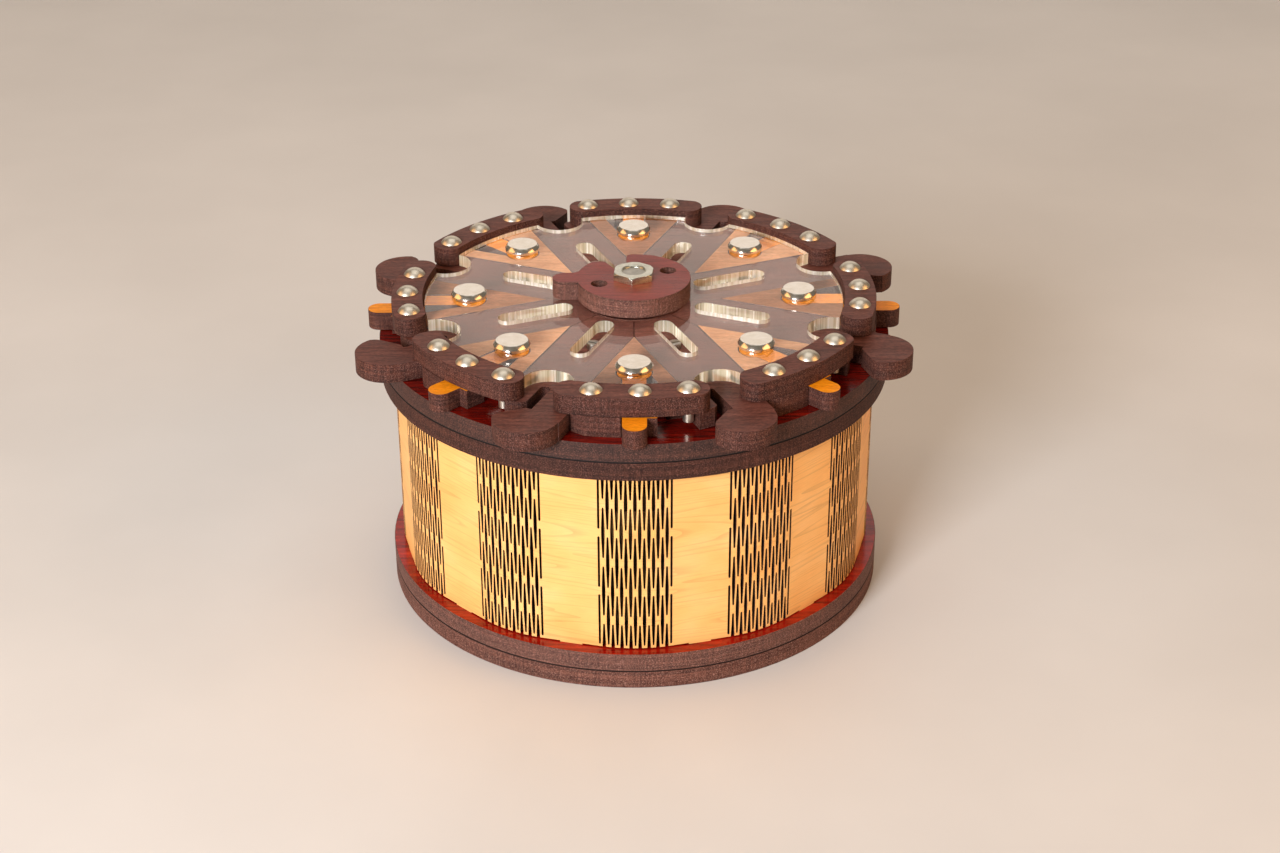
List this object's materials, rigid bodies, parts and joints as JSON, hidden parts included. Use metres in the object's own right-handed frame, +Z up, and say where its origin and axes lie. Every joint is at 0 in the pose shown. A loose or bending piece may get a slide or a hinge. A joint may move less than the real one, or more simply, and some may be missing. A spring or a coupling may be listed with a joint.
{
  "type": "puzzle box",
  "caption": "Round wooden puzzle box: kerf-bent wall between stained discs, lift-off lid with radial sliding levers, swinging pawls, a clear plate and a turning lock hub.",
  "frame": {"origin": "centre of the underside of the base", "axes": "+Z up through the hub; -Y is the front, where a spacer and its pawl stand"},
  "size_m": [0.1726, 0.1726, 0.105],
  "materials": {
    "dark_plywood": "walnut-stained plywood with burnt cut edges, satin",
    "red_plywood": "red-stained plywood, glossy",
    "maroon_plywood": "maroon-stained plywood, satin",
    "orange_plywood": "orange-stained plywood, satin",
    "wall_plywood": "oiled light plywood with kerf slits",
    "plain_plywood": "bare plywood",
    "clear_acrylic": "clear polished acrylic",
    "nickel": "polished nickel plate",
    "steel": "turned steel"
  },
  "bodies": {
    "box": {"base_disc_lower": "dark_plywood", "base_disc_upper": "red_plywood", "floor_disc": "plain_plywood", "wall": "wall_plywood", "keepers": "plain_plywood"},
    "lid": {"lid_disc_lower": "dark_plywood", "lid_disc_upper": "red_plywood", "locating_ring": "plain_plywood", "centre_spacer": "dark_plywood", "spacer_1": "orange_plywood", "spacer_2": "orange_plywood", "spacer_3": "orange_plywood", "spacer_4": "orange_plywood", "spacer_5": "orange_plywood", "spacer_6": "orange_plywood", "spacer_7": "orange_plywood", "spacer_8": "orange_plywood", "arc_1": "dark_plywood", "arc_2": "dark_plywood", "arc_3": "dark_plywood", "arc_4": "dark_plywood", "arc_5": "dark_plywood", "arc_6": "dark_plywood", "arc_7": "dark_plywood", "arc_8": "dark_plywood", "clear_plate": "clear_acrylic", "arc_rivets": "nickel", "stop_pins": "nickel", "pivot_buttons": "nickel"},
    "rotor": {"hub": "maroon_plywood", "nut": "nickel", "spindle_bolt": "steel", "sleeve": "steel", "bar_spacer": "plain_plywood", "lock_bar": "plain_plywood", "washer": "steel"},
    "lever_1": {"lever_1": "dark_plywood", "lever_pin_1": "steel"},
    "lever_2": {"lever_2": "dark_plywood", "lever_pin_2": "steel"},
    "lever_3": {"lever_3": "dark_plywood", "lever_pin_3": "steel"},
    "lever_4": {"lever_4": "dark_plywood", "lever_pin_4": "steel"},
    "lever_5": {"lever_5": "dark_plywood", "lever_pin_5": "steel"},
    "lever_6": {"lever_6": "dark_plywood", "lever_pin_6": "steel"},
    "lever_7": {"lever_7": "dark_plywood", "lever_pin_7": "steel"},
    "lever_8": {"lever_8": "dark_plywood", "lever_pin_8": "steel"},
    "pawl_1": {"pawl_1": "orange_plywood"},
    "pawl_2": {"pawl_2": "orange_plywood"},
    "pawl_3": {"pawl_3": "orange_plywood"},
    "pawl_4": {"pawl_4": "orange_plywood"},
    "pawl_5": {"pawl_5": "orange_plywood"},
    "pawl_6": {"pawl_6": "orange_plywood"},
    "pawl_7": {"pawl_7": "orange_plywood"},
    "pawl_8": {"pawl_8": "orange_plywood"}
  },
  "joints": [
    {"name": "lid_lift", "type": "slide", "parent": "box", "child": "lid", "axis": [0, 0, 1], "range_m": [0, 0.08]},
    {"name": "hub_turn", "type": "hinge", "parent": "lid", "child": "rotor", "pos_m": [0, 0, 0.0996], "axis": [0, 0, 1], "range_deg": [0, 90]},
    {"name": "lever_slide_1", "type": "slide", "parent": "lid", "child": "lever_1", "axis": [0.3827, -0.9239, 0], "range_m": [0, 0.01]},
    {"name": "lever_slide_2", "type": "slide", "parent": "lid", "child": "lever_2", "axis": [0.9239, -0.3827, 0], "range_m": [0, 0.01]},
    {"name": "lever_slide_3", "type": "slide", "parent": "lid", "child": "lever_3", "axis": [0.9239, 0.3827, 0], "range_m": [0, 0.01]},
    {"name": "lever_slide_4", "type": "slide", "parent": "lid", "child": "lever_4", "axis": [0.3827, 0.9239, 0], "range_m": [0, 0.01]},
    {"name": "lever_slide_5", "type": "slide", "parent": "lid", "child": "lever_5", "axis": [-0.3827, 0.9239, 0], "range_m": [0, 0.01]},
    {"name": "lever_slide_6", "type": "slide", "parent": "lid", "child": "lever_6", "axis": [-0.9239, 0.3827, 0], "range_m": [0, 0.01]},
    {"name": "lever_slide_7", "type": "slide", "parent": "lid", "child": "lever_7", "axis": [-0.9239, -0.3827, 0], "range_m": [0, 0.01]},
    {"name": "lever_slide_8", "type": "slide", "parent": "lid", "child": "lever_8", "axis": [-0.3827, -0.9239, 0], "range_m": [0, 0.01]},
    {"name": "pawl_turn_1", "type": "hinge", "parent": "lid", "child": "pawl_1", "pos_m": [0, -0.0528, 0.0892], "axis": [0, 0, 1], "range_deg": [0, 20]},
    {"name": "pawl_turn_2", "type": "hinge", "parent": "lid", "child": "pawl_2", "pos_m": [0.03734, -0.03734, 0.0892], "axis": [0, 0, 1], "range_deg": [0, 20]},
    {"name": "pawl_turn_3", "type": "hinge", "parent": "lid", "child": "pawl_3", "pos_m": [0.0528, 0, 0.0892], "axis": [0, 0, 1], "range_deg": [0, 20]},
    {"name": "pawl_turn_4", "type": "hinge", "parent": "lid", "child": "pawl_4", "pos_m": [0.03734, 0.03734, 0.0892], "axis": [0, 0, 1], "range_deg": [0, 20]},
    {"name": "pawl_turn_5", "type": "hinge", "parent": "lid", "child": "pawl_5", "pos_m": [0, 0.0528, 0.0892], "axis": [0, 0, 1], "range_deg": [0, 20]},
    {"name": "pawl_turn_6", "type": "hinge", "parent": "lid", "child": "pawl_6", "pos_m": [-0.03734, 0.03734, 0.0892], "axis": [0, 0, 1], "range_deg": [0, 20]},
    {"name": "pawl_turn_7", "type": "hinge", "parent": "lid", "child": "pawl_7", "pos_m": [-0.0528, 0, 0.0892], "axis": [0, 0, 1], "range_deg": [0, 20]},
    {"name": "pawl_turn_8", "type": "hinge", "parent": "lid", "child": "pawl_8", "pos_m": [-0.03734, -0.03734, 0.0892], "axis": [0, 0, 1], "range_deg": [0, 20]}
  ]
}
